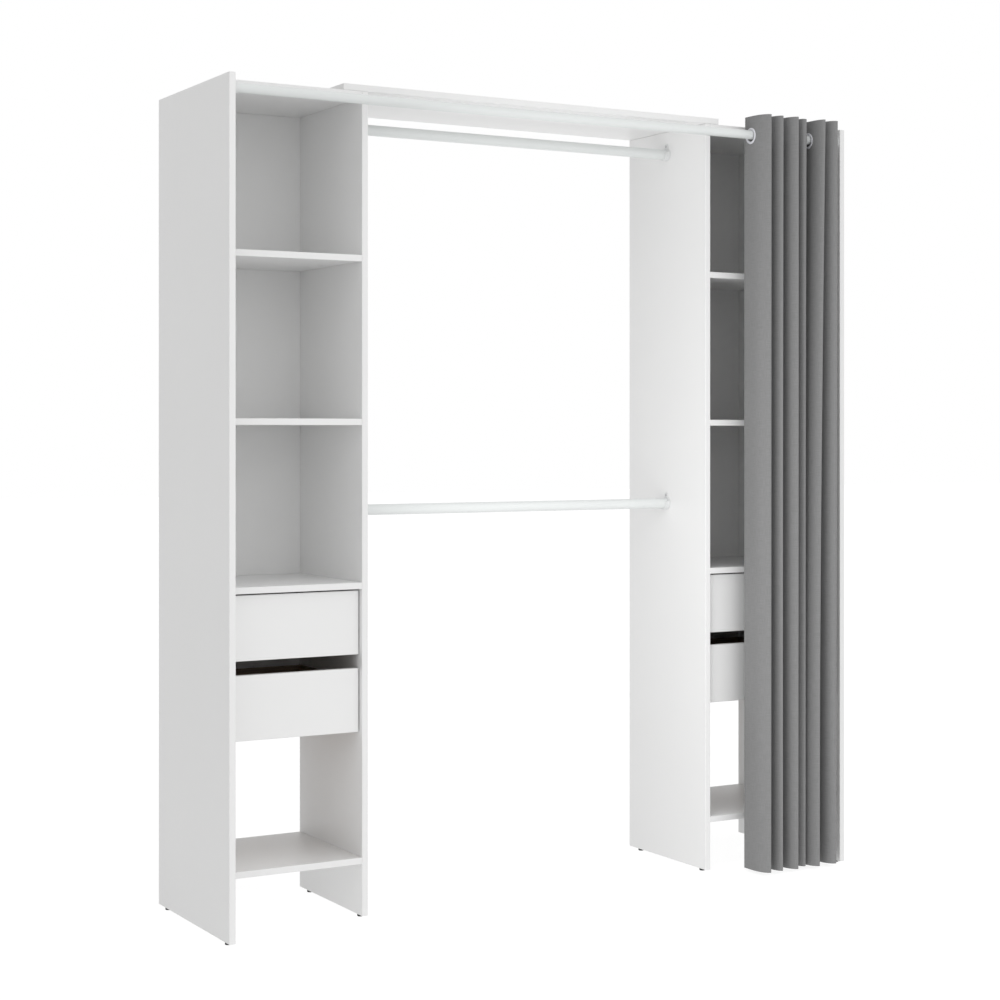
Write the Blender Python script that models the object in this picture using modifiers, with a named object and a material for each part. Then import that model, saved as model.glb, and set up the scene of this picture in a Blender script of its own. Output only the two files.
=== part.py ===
"""Open wardrobe: two shelf columns with drawers, two hanging rods between them, and an eyelet curtain."""
import math

import bmesh
import bpy
from mathutils import Matrix, Vector

# Driving dimensions, in metres. X runs to the right, Y to the back, Z up from the floor.
WIDTH = 1.832                # over the two outer sides
SIDE_HEIGHT = 2.034          # of the four side panels
OUTER_DEPTH = 0.469          # of the outer sides
SETBACK = 0.095              # from the outer sides' front edges to everything between them
COLUMN_CLEAR = 0.373         # inside width of a column
BOARD = 0.016                # thickness of the melamine boards
BACK_BOARD = 0.003           # thickness of the hardboard backs and drawer bottoms
JOINT_GAP = 0.0003           # between pieces that touch
EDGE_ROUND = 0.0008          # on the boards' edges
WELD_DISTANCE = 0.00001      # within which points of one mesh are joined

# Heights above the side panels' undersides
BOTTOM_SHELF_TOP = 0.145
DRAWER_SHELF_TOP = 0.823
MIDDLE_SHELF_TOP = 1.227
UPPER_SHELF_TOP = 1.6305
BACK_PANEL_LOW = 0.440

# Glides, nailed under the side panels
GLIDE_RADIUS = 0.007
GLIDE_HEIGHT = 0.005
GLIDE_ROOT = 0.003           # how far a glide runs up into its panel
GLIDE_FROM_FRONT = 0.027
GLIDE_FROM_BACK = 0.048

# The bridge board lies on both columns, a little left of the middle
BRIDGE_LENGTH = 1.132
BRIDGE_SHIFT = -0.011

# Drawers
DRAWER_RECESS = 0.014        # behind the shelves' front edges
DRAWER_SIDE_GAP = 0.003
DRAWER_TOP_GAP = 0.0045
DRAWER_FRONT_HEIGHT = 0.1575
FINGER_GAP = 0.0343          # between the upper and the lower front
WRAP_THICKNESS = 0.012       # of the folded surround: two sides and a back in one piece
WRAP_HEIGHT = 0.118
WRAP_DEPTH = 0.330
WRAP_SIDE_GAP = 0.004        # to the column's side panels
WRAP_ABOVE_FRONT_EDGE = 0.013
GROOVE_HEIGHT = 0.009
GROOVE_DEPTH = 0.006
GROOVE_ABOVE_WRAP_EDGE = 0.062
RUNNER_HEIGHT = 0.008
RUNNER_REACH = 0.009         # out from the side panel, into the groove
RUNNER_LENGTH = 0.300
RUNNER_FROM_FRONT = 0.006    # behind the drawer front
CUTTER_MARGIN = 0.02         # how far a cutter runs past what it cuts

# Hanging rods and their cradles
HANGING_ROD_RADIUS = 0.014
TUBE_WALL = 0.0012
HANGING_ROD_BEHIND_EDGE = 0.185   # behind the inner sides' front edges
HANGING_ROD_HEIGHTS = {"upper": 1.970, "lower": 0.994}
CRADLE_PLATE = 0.0025
CRADLE_DEPTH = 0.014
CRADLE_WALL = 0.0022
CRADLE_FLANGE = 0.0016       # how far the plate shows round the cup
CRADLE_CLEARANCE = 0.0004
CRADLE_LIP = 0.007           # how far the cup's two arms rise past the rod's middle
TAB_WIDTH = 0.014
TAB_HEIGHT = 0.030           # above the rod's middle
TAB_CORNER = 0.003
SCREW_RADIUS = 0.004
SCREW_LENGTH = 0.003         # of the head, half of it sunk in the plate
SCREW_BELOW_TAB = 0.007      # under the tab's top

# Curtain rod and its sockets
CURTAIN_ROD_RADIUS = 0.012
CURTAIN_ROD_BEHIND_EDGE = 0.0235   # behind the outer sides' front edges
CURTAIN_ROD_HEIGHT = 2.0013
ROSETTE_RADIUS = 0.021
ROSETTE_THICKNESS = 0.003
ROSETTE_CHAMFER = 0.0012
SOCKET_WALL = 0.0025
SOCKET_DEPTH = 0.012

# Curtain: eyelets counted from the leading edge, each carrying the cloth over the rod
LEADING_EYELET = 1.527       # from the left outer face
EYELET_STEPS = (0.023, 0.027, 0.020, 0.024, 0.023, 0.026, 0.028, 0.025, 0.020, 0.016, 0.025)
FRONT_REACH = (0.0586, 0.0542, 0.0605, 0.0510, 0.0560, 0.0560)   # of the folds, forward of the rod
REAR_REACH = 0.0635          # of the folds behind the rod
FOLD_SKEW = (0.009, 0.004, 0.008, 0.0, 0.004, 0.005)       # each front fold's lean to the right
SELVEDGE_BEHIND_ROD = 0.026  # the two side edges' distance behind the rod
FOLD_POINTS = 10             # from one eyelet to the next
CLOTH_THICKNESS = 0.0016
CLOTH_TOP = 2.0515
CLOTH_BOTTOM = 0.0045
HEADER_DEPTH = 0.075         # of the doubled band that carries the eyelets

# Eyelet rings
RING_INNER = 0.0155
RING_OUTER = 0.022
RING_NECK = 0.0168
RING_GROOVE = 0.0034
RING_FLANGE = 0.0014
RING_CHAMFER = 0.0012
RING_DROP = RING_INNER - CURTAIN_ROD_RADIUS - JOINT_GAP
CLOTH_HOLE = 0.0173

# Sides of the round shapes
ROD_SIDES = 32
RING_SIDES = 24
CUTTER_SIDES = 24
SMALL_SIDES = 16
CUP_POINTS = 17              # round the half circle of a cradle's cup

# Places that follow from the sizes above
FRONT_Y = (max(FRONT_REACH) - CURTAIN_ROD_BEHIND_EDGE + CLOTH_THICKNESS / 2 - OUTER_DEPTH) / 2
INNER_FRONT_Y = FRONT_Y + SETBACK
BACK_Y = FRONT_Y + OUTER_DEPTH
SHELF_BACK_Y = BACK_Y - BACK_BOARD - JOINT_GAP
OUTER_FACE_X = WIDTH / 2
OUTER_INSIDE_X = OUTER_FACE_X - BOARD
INNER_INSIDE_X = OUTER_INSIDE_X - COLUMN_CLEAR
INNER_FACE_X = INNER_INSIDE_X - BOARD
COLUMN_MIDDLE_X = (OUTER_INSIDE_X + INNER_INSIDE_X) / 2
SIDE_TOP_Z = GLIDE_HEIGHT + SIDE_HEIGHT
DRAWER_FRONT_Y = INNER_FRONT_Y + DRAWER_RECESS
CURTAIN_ROD_Y = FRONT_Y + CURTAIN_ROD_BEHIND_EDGE
CURTAIN_ROD_Z = GLIDE_HEIGHT + CURTAIN_ROD_HEIGHT
HANGING_ROD_Y = INNER_FRONT_Y + HANGING_ROD_BEHIND_EDGE

SIDES = {"left": -1, "right": 1}


def clear_scene():
    for obj in list(bpy.data.objects):
        bpy.data.objects.remove(obj, do_unlink=True)


def new_collection(name):
    collection = bpy.data.collections.new(name)
    bpy.context.scene.collection.children.link(collection)
    return collection


def new_material(name, color, roughness, metallic=0.0):
    material = bpy.data.materials.new(name)
    material.use_nodes = True
    shader = material.node_tree.nodes["Principled BSDF"]
    shader.inputs["Base Color"].default_value = (*color, 1.0)
    shader.inputs["Roughness"].default_value = roughness
    shader.inputs["Metallic"].default_value = metallic
    return material


def make_materials():
    return {
        "melamine": new_material("white_melamine", (0.80, 0.80, 0.79), 0.45),
        "hardboard": new_material("white_hardboard", (0.74, 0.74, 0.73), 0.55),
        "drawer": new_material("white_drawer_front", (0.80, 0.80, 0.79), 0.42),
        "surround": new_material("brown_foil_surround", (0.17, 0.11, 0.07), 0.55),
        "drawer_bottom": new_material("brown_hardboard", (0.26, 0.17, 0.10), 0.70),
        "runner": new_material("grey_runner_plastic", (0.55, 0.55, 0.54), 0.40),
        "rod": new_material("white_lacquered_tube", (0.76, 0.79, 0.78), 0.30),
        "socket": new_material("white_socket_plastic", (0.74, 0.75, 0.75), 0.40),
        "cloth": new_material("grey_curtain_cloth", (0.28, 0.28, 0.28), 0.90),
        "ring": new_material("pale_ring_plastic", (0.78, 0.78, 0.80), 0.30),
    }


def finish_piece(obj, name, material, collection):
    """Names a piece, gives it its own copy of a material and files it in a collection."""
    for owner in list(obj.users_collection):
        owner.objects.unlink(obj)
    collection.objects.link(obj)
    obj.name = name
    obj.data.name = name
    if material is not None:
        own = material.copy()
        own.name = name + "_" + material.name
        obj.data.materials.clear()
        obj.data.materials.append(own)
    return obj


def add_bevel(obj, width=EDGE_ROUND):
    bevel = obj.modifiers.new("round_edges", "BEVEL")
    bevel.width = width
    bevel.segments = 1
    bevel.limit_method = "ANGLE"
    return bevel


def add_boolean(obj, other, operation):
    boolean = obj.modifiers.new(operation.lower() + "_" + other.name, "BOOLEAN")
    boolean.operation = operation
    boolean.solver = "EXACT"
    boolean.object = other
    return boolean


def make_box(name, low, high, material, collection):
    """A box between two corners, with its origin at its middle."""
    low = Vector(low)
    high = Vector(high)
    bpy.ops.mesh.primitive_cube_add(size=1.0, location=(low + high) / 2)
    obj = bpy.context.object
    obj.data.transform(Matrix.Diagonal((*(high - low), 1.0)))
    return finish_piece(obj, name, material, collection)


def make_board(name, low, high, material, collection):
    board = make_box(name, low, high, material, collection)
    add_bevel(board)
    return board


def make_cutter(obj, name, cutters):
    finish_piece(obj, name, None, cutters)
    obj.hide_render = True
    obj.display_type = "WIRE"
    return obj


def cutter_box(name, low, high, cutters):
    return make_cutter(make_box(name, low, high, None, cutters), name, cutters)


def cutter_cylinder(name, radius, length, location, cutters, along_x=False, sides=CUTTER_SIDES):
    bpy.ops.mesh.primitive_cylinder_add(vertices=sides, radius=radius, depth=length, location=location)
    obj = bpy.context.object
    if along_x:
        obj.rotation_euler = (0.0, math.pi / 2, 0.0)
    return make_cutter(obj, name, cutters)


def turned_piece(name, profile, steps, location, material, collection, flip=False):
    """A closed profile of (radius, distance along the axis) points, turned about an axis along X.

    The profile runs up its outer side.
    """
    mesh = bpy.data.meshes.new(name)
    obj = bpy.data.objects.new(name, mesh)
    shape = bmesh.new()
    points = [shape.verts.new((radius, 0.0, along)) for radius, along in profile]
    for first, second in zip(points, points[1:] + points[:1]):
        shape.edges.new((first, second))
    shape.to_mesh(mesh)
    shape.free()
    finish_piece(obj, name, material, collection)
    screw = obj.modifiers.new("turn", "SCREW")
    screw.axis = "Z"
    screw.steps = steps
    screw.render_steps = steps
    screw.use_merge_vertices = True
    screw.merge_threshold = WELD_DISTANCE
    screw.use_normal_flip = True
    obj.location = location
    obj.rotation_euler = (0.0, -math.pi / 2 if flip else math.pi / 2, 0.0)
    return obj


def outline_solid(name, points, thickness):
    """A flat outline in the Y-Z plane as a mesh of the given thickness along X, middle at X 0."""
    curve = bpy.data.curves.new(name, "CURVE")
    curve.dimensions = "2D"
    curve.fill_mode = "BOTH"
    curve.extrude = thickness / 2
    spline = curve.splines.new("POLY")
    spline.points.add(len(points) - 1)
    for point, (across, up) in zip(spline.points, points):
        point.co = (across, up, 0.0, 1.0)
    spline.use_cyclic_u = True
    upright = Matrix.Rotation(math.pi / 2, 4, "Z") @ Matrix.Rotation(math.pi / 2, 4, "X")
    return curve_to_mesh(name, curve, upright)


def curve_to_mesh(name, curve, turn):
    """The evaluated curve as a mesh object, with its caps welded."""
    source = bpy.data.objects.new(name + "_curve", curve)
    bpy.context.scene.collection.objects.link(source)
    source.matrix_world = turn
    bpy.context.view_layer.update()
    mesh = bpy.data.meshes.new_from_object(source.evaluated_get(bpy.context.evaluated_depsgraph_get()))
    shape = bmesh.new()
    shape.from_mesh(mesh)
    bmesh.ops.remove_doubles(shape, verts=shape.verts, dist=WELD_DISTANCE)
    bmesh.ops.transform(shape, matrix=turn, verts=shape.verts)
    shape.to_mesh(mesh)
    shape.free()
    bpy.data.objects.remove(source, do_unlink=True)
    obj = bpy.data.objects.new(name, mesh)
    bpy.context.scene.collection.objects.link(obj)
    return obj


def arc(radius, start_degrees, end_degrees, count):
    """Points on a circle about the origin."""
    angles = [start_degrees + (end_degrees - start_degrees) * i / (count - 1) for i in range(count)]
    return [(radius * math.cos(math.radians(a)), radius * math.sin(math.radians(a))) for a in angles]


def make_side_panel(name, outer, side, materials, parts, cutters):
    """A side panel on its two glides."""
    outside_x, inside_x = (OUTER_FACE_X, OUTER_INSIDE_X) if outer else (INNER_INSIDE_X, INNER_FACE_X)
    front_y = FRONT_Y if outer else INNER_FRONT_Y
    low_x, high_x = sorted((side * outside_x, side * inside_x))
    low = (low_x, front_y, GLIDE_HEIGHT)
    high = (high_x, BACK_Y, SIDE_TOP_Z)
    panel = make_board(name, low, high, materials["melamine"], parts)
    glide_places = {"front": front_y + GLIDE_FROM_FRONT, "rear": BACK_Y - GLIDE_FROM_BACK}
    for place, glide_y in glide_places.items():
        length = GLIDE_HEIGHT + GLIDE_ROOT
        middle = ((low_x + high_x) / 2, glide_y, length / 2)
        glide_name = name + "_glide_" + place
        glide = cutter_cylinder(glide_name, GLIDE_RADIUS, length, middle, cutters, sides=SMALL_SIDES)
        add_boolean(panel, glide, "UNION")
    return panel


def make_column(side_name, materials, parts, cutters):
    """One column: two sides, four shelves, a top and a hardboard back."""
    side = SIDES[side_name]
    make_side_panel(side_name + "_outer_side", True, side, materials, parts, cutters)
    make_side_panel(side_name + "_inner_side", False, side, materials, parts, cutters)
    low_x, high_x = sorted((side * OUTER_INSIDE_X, side * INNER_INSIDE_X))
    low_x += JOINT_GAP
    high_x -= JOINT_GAP
    tops = {
        "_top_panel": SIDE_HEIGHT,
        "_upper_shelf": UPPER_SHELF_TOP,
        "_middle_shelf": MIDDLE_SHELF_TOP,
        "_drawer_shelf": DRAWER_SHELF_TOP,
        "_bottom_shelf": BOTTOM_SHELF_TOP,
    }
    for ending, top in tops.items():
        top_z = GLIDE_HEIGHT + top
        low = (low_x, INNER_FRONT_Y, top_z - BOARD)
        high = (high_x, SHELF_BACK_Y, top_z)
        make_board(side_name + ending, low, high, materials["melamine"], parts)
    low = (low_x, BACK_Y - BACK_BOARD, GLIDE_HEIGHT + BACK_PANEL_LOW)
    high = (high_x, BACK_Y, SIDE_TOP_Z)
    make_box(side_name + "_back_panel", low, high, materials["hardboard"], parts)


def make_bridge_board(materials, parts):
    low_z = SIDE_TOP_Z + JOINT_GAP
    low = (BRIDGE_SHIFT - BRIDGE_LENGTH / 2, INNER_FRONT_Y, low_z)
    high = (BRIDGE_SHIFT + BRIDGE_LENGTH / 2, SHELF_BACK_Y, low_z + BOARD)
    make_board("bridge_board", low, high, materials["melamine"], parts)


def make_surround(name, middle_x, low_z, material, parts, cutters):
    """A drawer's sides and back: a box with its front, top and bottom left off, made solid and grooved."""
    half_width = COLUMN_CLEAR / 2 - WRAP_SIDE_GAP
    front_y = DRAWER_FRONT_Y + BOARD + JOINT_GAP
    low = (middle_x - half_width, front_y, low_z)
    high = (middle_x + half_width, front_y + WRAP_DEPTH, low_z + WRAP_HEIGHT)
    wrap = make_box(name, low, high, material, parts)
    shape = bmesh.new()
    shape.from_mesh(wrap.data)
    open_faces = [face for face in shape.faces if face.normal.y < -0.5 or abs(face.normal.z) > 0.5]
    bmesh.ops.delete(shape, geom=open_faces, context="FACES")
    shape.to_mesh(wrap.data)
    shape.free()
    thicken = wrap.modifiers.new("thickness", "SOLIDIFY")
    thicken.thickness = WRAP_THICKNESS
    thicken.offset = -1.0
    thicken.use_even_offset = True
    groove_z = low_z + GROOVE_ABOVE_WRAP_EDGE
    for side_name, side in SIDES.items():
        outside = middle_x + side * (half_width + CUTTER_MARGIN)
        inside = middle_x + side * (half_width - GROOVE_DEPTH)
        groove_low = (min(outside, inside), front_y - CUTTER_MARGIN, groove_z - GROOVE_HEIGHT / 2)
        groove_high = (max(outside, inside), high[1] + CUTTER_MARGIN, groove_z + GROOVE_HEIGHT / 2)
        groove = cutter_box(name + "_groove_" + side_name, groove_low, groove_high, cutters)
        add_boolean(wrap, groove, "DIFFERENCE")
    return wrap


def make_drawer(name, side, front_low_z, materials, parts, cutters):
    """A drawer on a parent empty at its front, with the two runners that carry it."""
    middle_x = side * COLUMN_MIDDLE_X
    half_front = COLUMN_CLEAR / 2 - DRAWER_SIDE_GAP
    front_high_z = front_low_z + DRAWER_FRONT_HEIGHT
    front = make_board(
        name + "_front",
        (middle_x - half_front, DRAWER_FRONT_Y, front_low_z),
        (middle_x + half_front, DRAWER_FRONT_Y + BOARD, front_high_z),
        materials["drawer"], parts,
    )
    wrap_low_z = front_low_z + WRAP_ABOVE_FRONT_EDGE
    wrap = make_surround(name + "_surround", middle_x, wrap_low_z, materials["surround"], parts, cutters)
    half_wrap = COLUMN_CLEAR / 2 - WRAP_SIDE_GAP
    wrap_front_y = DRAWER_FRONT_Y + BOARD + JOINT_GAP
    bottom = make_box(
        name + "_bottom",
        (middle_x - half_wrap, wrap_front_y, wrap_low_z - JOINT_GAP - BACK_BOARD),
        (middle_x + half_wrap, wrap_front_y + WRAP_DEPTH, wrap_low_z - JOINT_GAP),
        materials["drawer_bottom"], parts,
    )
    carrier = bpy.data.objects.new(name + "_slide", None)
    parts.objects.link(carrier)
    carrier.location = (middle_x, DRAWER_FRONT_Y, (front_low_z + front_high_z) / 2)
    bpy.context.view_layer.update()
    for piece in (front, wrap, bottom):
        piece.parent = carrier
        piece.matrix_parent_inverse = carrier.matrix_world.inverted()
    runner_z = wrap_low_z + GROOVE_ABOVE_WRAP_EDGE
    runner_front_y = wrap_front_y + RUNNER_FROM_FRONT
    for end_name, end in (("outer", side), ("inner", -side)):
        wall_x = middle_x + end * (COLUMN_CLEAR / 2 - JOINT_GAP)
        reach_x = wall_x - end * RUNNER_REACH
        low = (min(wall_x, reach_x), runner_front_y, runner_z - RUNNER_HEIGHT / 2)
        high = (max(wall_x, reach_x), runner_front_y + RUNNER_LENGTH, runner_z + RUNNER_HEIGHT / 2)
        make_board(name + "_runner_" + end_name, low, high, materials["runner"], parts)


def make_drawers(materials, parts, cutters):
    upper_top = GLIDE_HEIGHT + DRAWER_SHELF_TOP - BOARD - DRAWER_TOP_GAP
    upper_low = upper_top - DRAWER_FRONT_HEIGHT
    lower_low = upper_low - FINGER_GAP - DRAWER_FRONT_HEIGHT
    for side_name, side in SIDES.items():
        make_drawer(side_name + "_upper_drawer", side, upper_low, materials, parts, cutters)
        make_drawer(side_name + "_lower_drawer", side, lower_low, materials, parts, cutters)


def tube_profile(radius, length):
    """A tube's wall, from minus half its length to plus half."""
    half = length / 2
    return [(radius, -half), (radius, half), (radius - TUBE_WALL, half), (radius - TUBE_WALL, -half)]


def make_hanging_cradle(name, side, rod_z, materials, parts, cutters):
    """A plate with a screwed tab on top and an open cup that the rod drops into."""
    inner_radius = HANGING_ROD_RADIUS + CRADLE_CLEARANCE
    cup_radius = inner_radius + CRADLE_WALL
    plate_radius = cup_radius + CRADLE_FLANGE
    half_tab = TAB_WIDTH / 2
    right_edge = [
        (plate_radius, CRADLE_LIP),
        (half_tab, CRADLE_LIP + plate_radius - half_tab),
        (half_tab, TAB_HEIGHT - TAB_CORNER),
        (half_tab - TAB_CORNER, TAB_HEIGHT),
    ]
    left_edge = [(-across, up) for across, up in reversed(right_edge)]
    plate_outline = arc(plate_radius, 180, 360, CUP_POINTS) + right_edge + left_edge
    plate = outline_solid(name, plate_outline, CRADLE_PLATE)
    cup_outline = [(-cup_radius, CRADLE_LIP)] + arc(cup_radius, 180, 360, CUP_POINTS)
    cup_outline += [(cup_radius, CRADLE_LIP), (inner_radius, CRADLE_LIP)]
    cup_outline += arc(inner_radius, 360, 180, CUP_POINTS) + [(-inner_radius, CRADLE_LIP)]
    cup = outline_solid(name + "_cup", cup_outline, CRADLE_DEPTH)
    wall_x = side * (INNER_FACE_X - JOINT_GAP)
    plate.location = (wall_x - side * CRADLE_PLATE / 2, HANGING_ROD_Y, rod_z)
    overlap = CRADLE_PLATE / 2
    cup.location = (wall_x - side * (overlap + CRADLE_DEPTH / 2), HANGING_ROD_Y, rod_z)
    finish_piece(plate, name, materials["socket"], parts)
    make_cutter(cup, name + "_cup", cutters)
    add_boolean(plate, cup, "UNION")
    screw_place = (wall_x - side * CRADLE_PLATE, HANGING_ROD_Y, rod_z + TAB_HEIGHT - SCREW_BELOW_TAB)
    head = cutter_cylinder(
        name + "_screw", SCREW_RADIUS, SCREW_LENGTH, screw_place, cutters, along_x=True, sides=SMALL_SIDES
    )
    add_boolean(plate, head, "UNION")


def make_hanging_rods(materials, parts, cutters):
    length = 2 * (INNER_FACE_X - CRADLE_PLATE - 2 * JOINT_GAP)
    for rod_name, height in HANGING_ROD_HEIGHTS.items():
        rod_z = GLIDE_HEIGHT + height
        turned_piece(
            rod_name + "_hanging_rod", tube_profile(HANGING_ROD_RADIUS, length), ROD_SIDES,
            (0.0, HANGING_ROD_Y, rod_z), materials["rod"], parts,
        )
        for side_name, side in SIDES.items():
            cradle_name = rod_name + "_rod_cradle_" + side_name
            make_hanging_cradle(cradle_name, side, rod_z, materials, parts, cutters)


def make_curtain_rod(materials, parts):
    length = 2 * (OUTER_INSIDE_X - ROSETTE_THICKNESS - 2 * JOINT_GAP)
    place = (0.0, CURTAIN_ROD_Y, CURTAIN_ROD_Z)
    tube = tube_profile(CURTAIN_ROD_RADIUS, length)
    turned_piece("curtain_rod", tube, ROD_SIDES, place, materials["rod"], parts)
    bore = CURTAIN_ROD_RADIUS + JOINT_GAP
    profile = [
        (0.0, 0.0),
        (ROSETTE_RADIUS, 0.0),
        (ROSETTE_RADIUS, ROSETTE_THICKNESS - ROSETTE_CHAMFER),
        (ROSETTE_RADIUS - ROSETTE_CHAMFER, ROSETTE_THICKNESS),
        (bore + SOCKET_WALL, ROSETTE_THICKNESS),
        (bore + SOCKET_WALL, SOCKET_DEPTH),
        (bore, SOCKET_DEPTH),
        (bore, ROSETTE_THICKNESS),
        (0.0, ROSETTE_THICKNESS),
    ]
    for side_name, side in SIDES.items():
        place = (side * (OUTER_INSIDE_X - JOINT_GAP), CURTAIN_ROD_Y, CURTAIN_ROD_Z)
        turned_piece(
            "curtain_rod_socket_" + side_name, profile, ROD_SIDES,
            place, materials["socket"], parts, flip=side > 0,
        )


def eyelet_places():
    """X of each eyelet, from the leading edge to the trailing one."""
    places = [LEADING_EYELET - WIDTH / 2]
    for step in EYELET_STEPS:
        places.append(places[-1] + step)
    return places


def curtain_plan():
    """The cloth's line from above: square to the rod at each eyelet, with a rounded fold between two."""
    places = eyelet_places()
    selvedge_y = CURTAIN_ROD_Y + SELVEDGE_BEHIND_ROD
    plan = [(places[0], selvedge_y), (places[0], (selvedge_y + CURTAIN_ROD_Y) / 2)]
    for fold, (start, end) in enumerate(zip(places, places[1:])):
        forward = fold % 2 == 0
        reach = -FRONT_REACH[fold // 2] if forward else REAR_REACH
        skew = FOLD_SKEW[fold // 2] if forward else 0.0
        for i in range(FOLD_POINTS):
            turn = i / FOLD_POINTS
            bulge = math.sin(math.pi * turn)
            share = turn - math.sin(2 * math.pi * turn) / (2 * math.pi)
            plan.append((start + (end - start) * share + skew * bulge ** 4, CURTAIN_ROD_Y + reach * bulge))
    plan.append((places[-1], CURTAIN_ROD_Y))
    plan.append((places[-1], selvedge_y))
    return plan


def make_curtain(materials, parts, cutters):
    """The gathered cloth with its main folds and its eyelet holes."""
    plan = curtain_plan()
    curve = bpy.data.curves.new("curtain", "CURVE")
    curve.dimensions = "3D"
    curve.extrude = (CLOTH_TOP - CLOTH_BOTTOM) / 2
    spline = curve.splines.new("POLY")
    spline.points.add(len(plan) - 1)
    for point, (x, y) in zip(spline.points, plan):
        point.co = (x, y, 0.0, 1.0)
    middle_z = GLIDE_HEIGHT + (CLOTH_TOP + CLOTH_BOTTOM) / 2
    cloth = curve_to_mesh("curtain", curve, Matrix.Translation((0.0, 0.0, middle_z)))
    header_z = GLIDE_HEIGHT + CLOTH_TOP - HEADER_DEPTH
    shape = bmesh.new()
    shape.from_mesh(cloth.data)
    everything = shape.verts[:] + shape.edges[:] + shape.faces[:]
    bmesh.ops.bisect_plane(shape, geom=everything, plane_co=(0, 0, header_z), plane_no=(0, 0, 1))
    shape.to_mesh(cloth.data)
    shape.free()
    finish_piece(cloth, "curtain", materials["cloth"], parts)
    thicken = cloth.modifiers.new("thickness", "SOLIDIFY")
    thicken.thickness = CLOTH_THICKNESS
    thicken.offset = 0.0
    places = eyelet_places()
    length = places[-1] - places[0] + CUTTER_MARGIN
    hole_middle = ((places[0] + places[-1]) / 2, CURTAIN_ROD_Y, CURTAIN_ROD_Z - RING_DROP)
    holes = cutter_cylinder("curtain_holes", CLOTH_HOLE, length, hole_middle, cutters, along_x=True)
    add_boolean(cloth, holes, "DIFFERENCE")


def make_rings(materials, parts):
    """The two-part eyelet rings, each a spool that grips the cloth round its hole."""
    half = RING_GROOVE / 2
    outside = half + RING_FLANGE
    profile = [
        (RING_INNER, -outside),
        (RING_OUTER - RING_CHAMFER, -outside),
        (RING_OUTER, -half),
        (RING_NECK, -half),
        (RING_NECK, half),
        (RING_OUTER, half),
        (RING_OUTER - RING_CHAMFER, outside),
        (RING_INNER, outside),
    ]
    for number, place in enumerate(eyelet_places(), start=1):
        turned_piece(
            "curtain_ring_{:02d}".format(number), profile, RING_SIDES,
            (place, CURTAIN_ROD_Y, CURTAIN_ROD_Z - RING_DROP), materials["ring"], parts,
        )


def main():
    clear_scene()
    parts = new_collection("wardrobe")
    cutters = new_collection("cutters")
    materials = make_materials()
    for side_name in SIDES:
        make_column(side_name, materials, parts, cutters)
    make_bridge_board(materials, parts)
    make_drawers(materials, parts, cutters)
    make_hanging_rods(materials, parts, cutters)
    make_curtain_rod(materials, parts)
    make_curtain(materials, parts, cutters)
    make_rings(materials, parts)


main()
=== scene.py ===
"""The finished look of the open wardrobe, laid over its fixed frame.

Boards and drawers keep their solids and get their finish here. Rods, fittings, rings and glides are made
again with fine curves, and the curtain is made again as hemmed cloth with its folds, eyelets and stitching.
"""
import math

import bmesh
import bpy
from mathutils import Matrix, Vector


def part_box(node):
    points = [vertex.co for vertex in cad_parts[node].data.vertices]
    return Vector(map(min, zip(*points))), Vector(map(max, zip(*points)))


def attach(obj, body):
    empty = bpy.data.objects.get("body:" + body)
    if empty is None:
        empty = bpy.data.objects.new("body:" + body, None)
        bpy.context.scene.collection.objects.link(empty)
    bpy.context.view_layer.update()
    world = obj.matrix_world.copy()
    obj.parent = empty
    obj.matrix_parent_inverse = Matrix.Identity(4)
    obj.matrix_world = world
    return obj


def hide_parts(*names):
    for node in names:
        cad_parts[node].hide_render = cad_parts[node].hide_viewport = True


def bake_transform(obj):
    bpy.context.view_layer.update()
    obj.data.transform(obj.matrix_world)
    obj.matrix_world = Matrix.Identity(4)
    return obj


# Camera, solved from the photograph's edges: place in metres, turned to the right about the vertical
LENS = 72.0
SENSOR = 36.0
CAMERA_PLACE = (-2.690, -4.564, 1.202)
CAMERA_TURN = math.radians(29.9)
HORIZON_SHIFT = -0.0692

# Studio: light from all round, a wide soft light high in front, a panel that shines across the middle bay,
# and a floor that glows a little. The floor has one albedo and glow for the light it gives back, and another
# pair for how it looks
PURE_WHITE = (1.0, 1.0, 1.0)
ROUND_STRENGTH = 0.32
HIGH_FRONT_STRENGTH = 0.905
HIGH_FRONT = (0.11, -0.785, 0.61)
PANEL_PLACE = (-0.47, -0.78, 0.95)
PANEL_AIM = (1.0, 0.0, 0.0)
PANEL_WIDTH = 0.7
PANEL_HEIGHT = 1.5
PANEL_WATTS = 7.4
FLOOR_HALF_SIZE = 30.0
FLOOR_DROP = 0.0006          # under the glides, so that nothing lies in the floor
FLOOR_ALBEDO = 0.50
FLOOR_GLOW = 0.43
FLOOR_SEEN_ALBEDO = 0.25
FLOOR_SEEN_GLOW = 0.88

# Finish colours, linear
WHITE_BOARD = (0.870, 0.870, 0.867)
WHITE_PAINT = (0.835, 0.835, 0.832)
RAW_BOARD = (0.42, 0.31, 0.19)
RAW_HARDBOARD = (0.24, 0.14, 0.075)
BROWN_FOIL = (0.260, 0.190, 0.130)
RUNNER_GREY = (0.50, 0.50, 0.49)
ROD_WHITE = (0.766, 0.788, 0.782)
FITTING_WHITE = (0.76, 0.77, 0.77)
RING_PEARL = (0.74, 0.74, 0.78)
SCREW_STEEL = (0.58, 0.58, 0.59)
NAIL_STEEL = (0.50, 0.50, 0.51)
GLIDE_BLACK = (0.022, 0.022, 0.023)
CLOTH_GREY = (0.241, 0.241, 0.242)
THREAD_GREY = (0.30, 0.30, 0.305)

# Textures: the direction that a finish's rear faces, and the sockets of a node that mixes colours
REAR = (0.0, 1.0, 0.0)
MIX_SHARE = 0
MIX_FIRST = 6
MIX_SECOND = 7
MIX_RESULT = 2

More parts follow.
